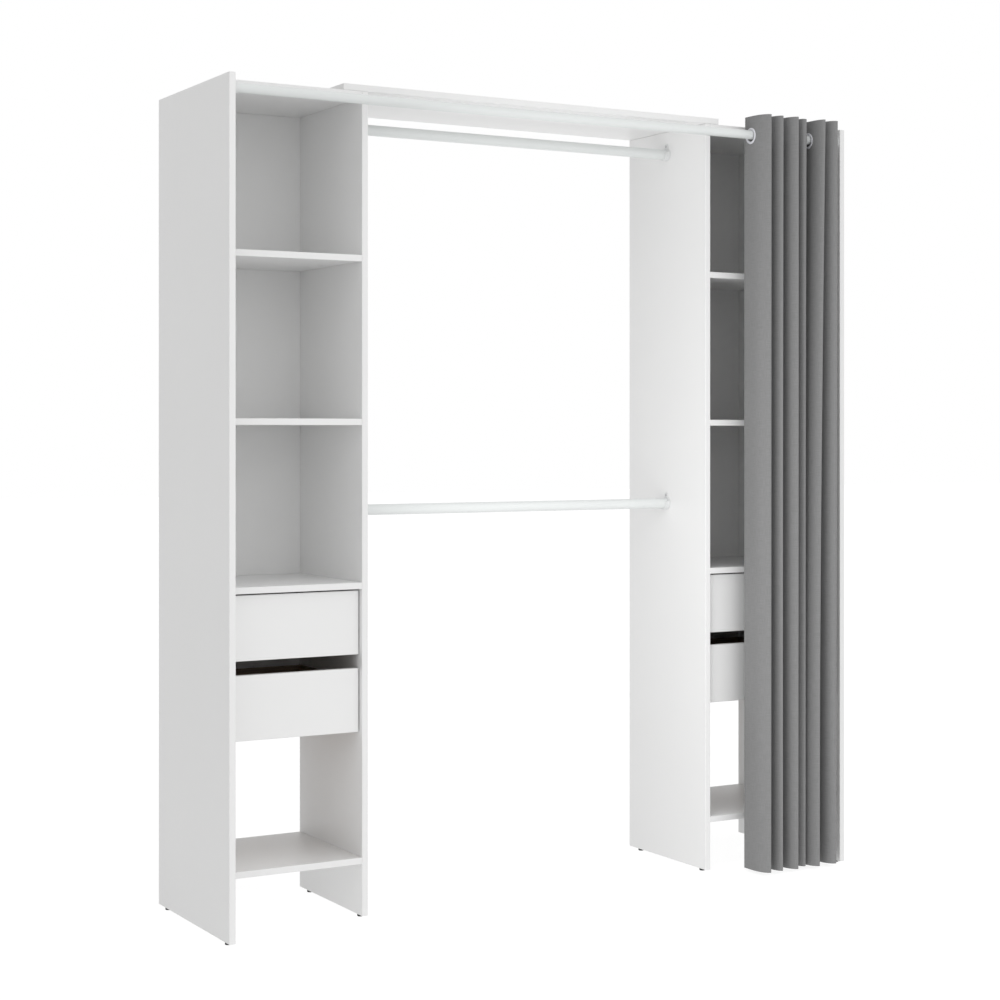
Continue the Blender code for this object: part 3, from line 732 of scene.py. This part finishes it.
class Cloth:
    """The curtain's folded surface, worked out from the rings' places."""

    def __init__(self):
        self.eyelets = [middle_of(ring_node(number)).x for number in range(1, RING_COUNT + 1)]
        self.last = RING_COUNT - 1
        self.rod_y = middle_of("curtain_rod").y
        low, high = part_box("curtain_ring_01")
        self.ring_z = (low.z + high.z) / 2
        self.ring_radius = (high.z - low.z) / 2
        low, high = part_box("curtain")
        self.low = low.z
        self.height = high.z - low.z
        self.hem = HEM_HEIGHT / self.height
        self.header = 1.0 - HEADER_HEIGHT / self.height

    def fall(self, share):
        """How much of its hem's shape a fold has at a share of the height: 0 at the top, 1 at the hem."""
        return math.sin(math.pi / 2 * (1.0 - share))

    def eyelet_line(self, number, share):
        """X of the line that hangs down from an eyelet."""
        return self.eyelets[number] + HEM_DRIFT[number] * self.fall(share)

    def selvedge(self, z):
        """The side edges' distance behind the rod: the rings hold them in a little."""
        below = ease((self.ring_z + RING_HOLD - z) / SELVEDGE_FADE)
        return SELVEDGE_AT_RING + (SELVEDGE_BELOW_RING - SELVEDGE_AT_RING) * below

    def swell(self, fold, share):
        """A fold's reach changes a little on the way down, each in its own way."""
        return 1.0 + SWELL * math.sin(SWELL_A_FOLD * fold + SWELL_A_HEIGHT * share) * (1.0 - share)

    def point(self, place, share):
        """place counts eyelets from the leading edge; share is 0 at the hem and 1 at the top."""
        z = self.low + self.height * share
        if place <= 0.0:
            return Vector((self.eyelet_line(0, share), self.rod_y - place * self.selvedge(z), z))
        if place >= self.last:
            past = place - self.last
            return Vector((self.eyelet_line(self.last, share), self.rod_y + past * self.selvedge(z), z))
        number = int(place)
        turn = place - number
        start = self.eyelet_line(number, share)
        end = self.eyelet_line(number + 1, share)
        bulge = math.sin(math.pi * turn)
        across = turn - math.sin(2 * math.pi * turn) / (2 * math.pi)
        x = start + (end - start) * across
        if number % 2 == 0:
            fold = number // 2
            x += (LEAN[fold] + LEAN_GAIN_AT_HEM[fold] * self.fall(share)) * bulge ** 3
            y = self.rod_y - FRONT_REACH[fold] * self.swell(fold, share) * bulge
        else:
            y = self.rod_y + REAR_REACH * bulge
        nearest = self.eyelets[number] if turn < 0.5 else self.eyelets[number + 1]
        return Vector((self.held_by_ring(x, y, z, nearest), y, z))

    def held_by_ring(self, x, y, z, eyelet):
        """The two halves of a ring press the cloth flat between them, and less so further out."""
        distance = math.hypot(y - self.rod_y, z - self.ring_z) / self.ring_radius
        grip = 1.0 - ease((distance - 1.0) / RING_PRESS_FADE)
        flat = min(max(x, eyelet - RING_PRESS), eyelet + RING_PRESS)
        return x + (flat - x) * grip

    def columns(self):
        """Places across the cloth, from side edge to side edge."""
        places = [-1.0 + share for share in SELVEDGE_COLUMNS]
        places += [i / FOLD_COLUMNS for i in range(self.last * FOLD_COLUMNS + 1)]
        places += [self.last + 1.0 - share for share in reversed(SELVEDGE_COLUMNS)]
        return places

    def rows(self):
        """Shares of the height, closer at the hem's and the header's seams."""
        step = SEAM_STEP / self.height
        rows = [0.0, self.hem * 0.5, self.hem - step, self.hem]
        rows += [self.hem + (self.header - self.hem) * i / BODY_ROWS for i in range(1, BODY_ROWS)]
        rows += [self.header, self.header + step]
        rows += [self.header + (1.0 - self.header) * i / HEADER_ROWS for i in range(1, HEADER_ROWS + 1)]
        return rows

    def doubled(self, place, share):
        """Whether the cloth is folded over in a hem or the header."""
        in_band = share < self.hem - ROW_SLACK or share > self.header + ROW_SLACK
        in_side_hem = place < -1.0 + SIDE_HEM_SHARE or place > self.last + 1.0 - SIDE_HEM_SHARE
        return in_band or in_side_hem

    def normal(self, place, share):
        """The cloth's normal, level because the folds hang straight down."""
        along = self.point(place + NORMAL_STEP, share) - self.point(place - NORMAL_STEP, share)
        return Vector((along.y, -along.x, 0.0)).normalized()

    def widths(self, places, share):
        """Distances along the cloth from its leading edge."""
        total = 0.0
        widths = [0.0]
        points = [self.point(place, share) for place in places]
        for first, second in zip(points, points[1:]):
            total += (second - first).length
            widths.append(total)
        return widths


def hem_seats(cloth, places, widths):
    """Where the hem's stitches sit, at even steps along the cloth."""
    seats = []
    column = 0
    for i in range(int(widths[-1] / STITCH_PITCH)):
        at = (i + 0.5) * STITCH_PITCH
        while widths[column + 1] < at:
            column += 1
        step = (at - widths[column]) / (widths[column + 1] - widths[column])
        place = places[column] + (places[column + 1] - places[column]) * step
        seats.append((place, cloth.hem * HEM_STITCH_SHARE))
    return seats


def side_seats(cloth):
    """Where the side hems' stitches sit, at even steps up the cloth."""
    inset = SIDE_HEM_SHARE * SIDE_STITCH_SHARE
    shares = [(i + 0.5) * STITCH_PITCH / cloth.height for i in range(int(cloth.height / STITCH_PITCH))]
    return [(place, share) for share in shares for place in (-1.0 + inset, cloth.last + 1.0 - inset)]


def add_stitch(shape, middle, along, out):
    """One stitch: a short thread that dives into the cloth at both ends."""
    across = along.cross(out)
    ends = [shape.verts.new(middle + along * (sign * STITCH_LENGTH / 2)) for sign in (-1, 1)]
    ring = []
    for side, proud in ((-1, 0), (0, 1), (1, 0), (0, -1)):
        offset = across * (side * STITCH_WIDTH / 2) + out * (proud * STITCH_PROUD)
        ring.append(shape.verts.new(middle + offset))
    for first, second in zip(ring, ring[1:] + ring[:1]):
        shape.faces.new((first, second, ends[1]))
        shape.faces.new((second, first, ends[0]))


def make_stitches(cloth, places, widths, finishes):
    """The rows of stitches that hold the hem and the two side hems, on both faces of the cloth."""
    shape = bmesh.new()
    up = Vector((0.0, 0.0, 1.0))
    seats = [(seat, True) for seat in hem_seats(cloth, places, widths)]
    seats += [(seat, False) for seat in side_seats(cloth)]
    for (place, share), level in seats:
        out = cloth.normal(place, share)
        along = up.cross(out) if level else up
        for face in (-1, 1):
            middle = cloth.point(place, share) + out * (face * CLOTH_THICKNESS / 2)
            add_stitch(shape, middle, along, out * face)
    mesh = bpy.data.meshes.new("curtain_stitches")
    bmesh.ops.recalc_face_normals(shape, faces=shape.faces[:])
    shape.to_mesh(mesh)
    shape.free()
    stitches = new_object("curtain_stitches", mesh, finishes["thread"])
    return stitches


def folded_cloth(cloth, places, rows, widths, finishes):
    """The cloth's middle surface, whose texture coordinates are its places when it lies flat."""
    shape = bmesh.new()
    grid = [[shape.verts.new(cloth.point(place, share)) for place in places] for share in rows]
    flat = shape.loops.layers.uv.new("flat_cloth")
    for row in range(len(rows) - 1):
        for column in range(len(places) - 1):
            corners = ((row, column), (row, column + 1), (row + 1, column + 1), (row + 1, column))
            face = shape.faces.new([grid[r][c] for r, c in corners])
            for loop, (r, c) in zip(face.loops, corners):
                loop[flat].uv = (widths[c], rows[r] * cloth.height)
    mesh = bpy.data.meshes.new("curtain_cloth")
    shape.to_mesh(mesh)
    shape.free()
    return new_object("curtain_cloth", mesh, finishes["cloth"])


def thicken_cloth(piece, cloth, places, rows):
    """Gives the cloth its thickness, a little less where it is single."""
    doubled = piece.vertex_groups.new(name="doubled")
    seats = [(place, share) for share in rows for place in places]
    for index, (place, share) in enumerate(seats):
        doubled.add([index], 1.0 if cloth.doubled(place, share) else 0.0, "REPLACE")
    thicken = piece.modifiers.new("thickness", "SOLIDIFY")
    thicken.thickness = CLOTH_THICKNESS
    thicken.offset = 0.0
    thicken.vertex_group = "doubled"
    thicken.thickness_vertex_group = SINGLE_SHARE
    bake_modifiers(piece)


def cut_eyelets(piece, cloth):
    """Cuts every eyelet's hole with one long cylinder."""
    first, last = cloth.eyelets[0], cloth.eyelets[-1]
    bpy.ops.mesh.primitive_cylinder_add(
        vertices=HOLE_SIDES, radius=CLOTH_HOLE, depth=last - first + 2 * HOLE_CUTTER_REACH,
        location=((first + last) / 2, cloth.rod_y, cloth.ring_z), rotation=(0.0, math.pi / 2, 0.0),
    )
    cut_away(piece, bpy.context.object)


def make_curtain(finishes):
    """The curtain: hemmed cloth with its rings and stitches, gathered on the rod."""
    cloth = Cloth()
    places = cloth.columns()
    rows = cloth.rows()
    widths = cloth.widths(places, 0.5)
    piece = folded_cloth(cloth, places, rows, widths, finishes)
    thicken_cloth(piece, cloth, places, rows)
    cut_eyelets(piece, cloth)
    piece.data.materials.clear()
    piece.data.materials.append(finishes["cloth"])
    piece.data.shade_smooth()
    piece.data.set_sharp_from_angle(angle=math.radians(CLOTH_SHARP_DEGREES))
    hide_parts("curtain")
    for number in range(1, RING_COUNT + 1):
        body = {1: "curtain_lead", RING_COUNT: "curtain_trail"}.get(number, "ring_{:02d}".format(number))
        make_ring(ring_node(number), body, finishes)
    stitches = make_stitches(cloth, places, widths, finishes)
    for hung in (piece, stitches):
        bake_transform(hung)


def dress_boards(nodes, finishes):
    """Gives each solid that stays its finish."""
    kinds = {
        "_drawer_front": "melamine",
        "_drawer_surround": "foil",
        "_drawer_bottom": "drawer_bottom",
        "_runner_outer": "runner",
        "_runner_inner": "runner",
        "_back_panel": "hardboard",
    }
    for name, obj in nodes.items():
        kind = next((kinds[ending] for ending in kinds if name.endswith(ending)), "carcass")
        if not obj.material_slots:
            obj.data.materials.append(None)
        obj.material_slots[0].material = finishes[kind]


def seen_directly(tree):
    """1 for rays from the camera and for reflections, 0 for light that lands on the object."""
    rays = add_node(tree, "LightPath")
    total = rays.outputs["Is Camera Ray"]
    for name in ("Is Glossy Ray", "Is Transmission Ray"):
        total = add_node(tree, "Math", {0: total, 1: rays.outputs[name]}, operation="MAXIMUM").outputs[0]
    return total


def glowing_surface(tree, albedo, strength):
    """White that scatters a share of its light and gives off some of its own."""
    scatter = add_node(tree, "BsdfDiffuse", {"Color": opaque((albedo, albedo, albedo))})
    glow = add_node(tree, "Emission", {"Strength": strength})
    return add_node(tree, "AddShader", {0: scatter.outputs[0], 1: glow.outputs[0]}).outputs[0]


def make_floor():
    """A wide floor that looks white and keeps the wardrobe's shadow."""
    bpy.ops.mesh.primitive_plane_add(size=2 * FLOOR_HALF_SIZE, location=(0.0, 0.0, -FLOOR_DROP))
    floor = bpy.context.object
    floor.name = "studio_floor"
    material = bpy.data.materials.new("studio_floor")
    material.use_nodes = True
    tree = material.node_tree
    tree.nodes.clear()
    lights = glowing_surface(tree, FLOOR_ALBEDO, FLOOR_GLOW)
    looks = glowing_surface(tree, FLOOR_SEEN_ALBEDO, FLOOR_SEEN_GLOW)
    choice = add_node(tree, "MixShader", {0: seen_directly(tree), 1: lights, 2: looks})
    add_node(tree, "OutputMaterial", {"Surface": choice.outputs[0]})
    floor.data.materials.append(material)


def make_world():
    """Soft light from all round that is brightest high in front, before a plain white background."""
    world = bpy.data.worlds.new("studio_world")
    bpy.context.scene.world = world
    world.use_nodes = True
    tree = world.node_tree
    direction = add_node(tree, "TexCoord").outputs["Generated"]
    toward = add_node(tree, "VectorMath", {0: direction, 1: HIGH_FRONT}, operation="DOT_PRODUCT")
    positive = add_node(tree, "Math", {0: toward.outputs["Value"], 1: 0.0}, operation="MAXIMUM")
    strengths = {0: positive.outputs[0], 1: HIGH_FRONT_STRENGTH, 2: ROUND_STRENGTH}
    total = add_node(tree, "Math", strengths, operation="MULTIPLY_ADD")
    light = tree.nodes["Background"]
    light.inputs["Color"].default_value = opaque(PURE_WHITE)
    tree.links.new(total.outputs[0], light.inputs["Strength"])
    backdrop = add_node(tree, "Background", {"Color": opaque(PURE_WHITE)})
    shaders = {0: seen_directly(tree), 1: light.outputs[0], 2: backdrop.outputs[0]}
    choice = add_node(tree, "MixShader", shaders)
    tree.links.new(choice.outputs[0], tree.nodes["World Output"].inputs[0])


def make_panel():
    """A soft light panel in front of the middle bay, which the camera and reflections don't see."""
    data = bpy.data.lights.new("side_panel", "AREA")
    data.shape = "RECTANGLE"
    data.size = PANEL_WIDTH
    data.size_y = PANEL_HEIGHT
    data.energy = PANEL_WATTS
    lamp = bpy.data.objects.new("side_panel", data)
    bpy.context.scene.collection.objects.link(lamp)
    lamp.location = PANEL_PLACE
    lamp.rotation_mode = "QUATERNION"
    lamp.rotation_quaternion = Vector(PANEL_AIM).to_track_quat("-Z", "Y")
    lamp.visible_camera = False
    lamp.visible_glossy = False


make_camera()
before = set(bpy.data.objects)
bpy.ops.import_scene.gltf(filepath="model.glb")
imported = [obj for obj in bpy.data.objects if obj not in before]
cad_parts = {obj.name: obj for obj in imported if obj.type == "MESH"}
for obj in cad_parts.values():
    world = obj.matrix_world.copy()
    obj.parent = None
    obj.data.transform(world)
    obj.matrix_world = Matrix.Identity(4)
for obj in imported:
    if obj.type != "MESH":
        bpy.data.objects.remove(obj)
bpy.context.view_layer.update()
finishes = make_finishes()
dress_boards(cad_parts, finishes)
for rod_name in ("upper_hanging_rod", "lower_hanging_rod", "curtain_rod"):
    make_rod(rod_name, finishes)
for side_name, side in (("left", -1), ("right", 1)):
    for level in ("upper", "lower"):
        make_cradle("{}_rod_cradle_{}".format(level, side_name), side, finishes)
    make_socket("curtain_rod_socket_" + side_name, side, finishes)
    make_glides(side_name + "_outer_side", finishes)
    make_glides(side_name + "_inner_side", finishes)
    make_back_nails(side_name, finishes)
make_curtain(finishes)
make_floor()
make_world()
make_panel()
bpy.context.scene.view_settings.view_transform = "Standard"
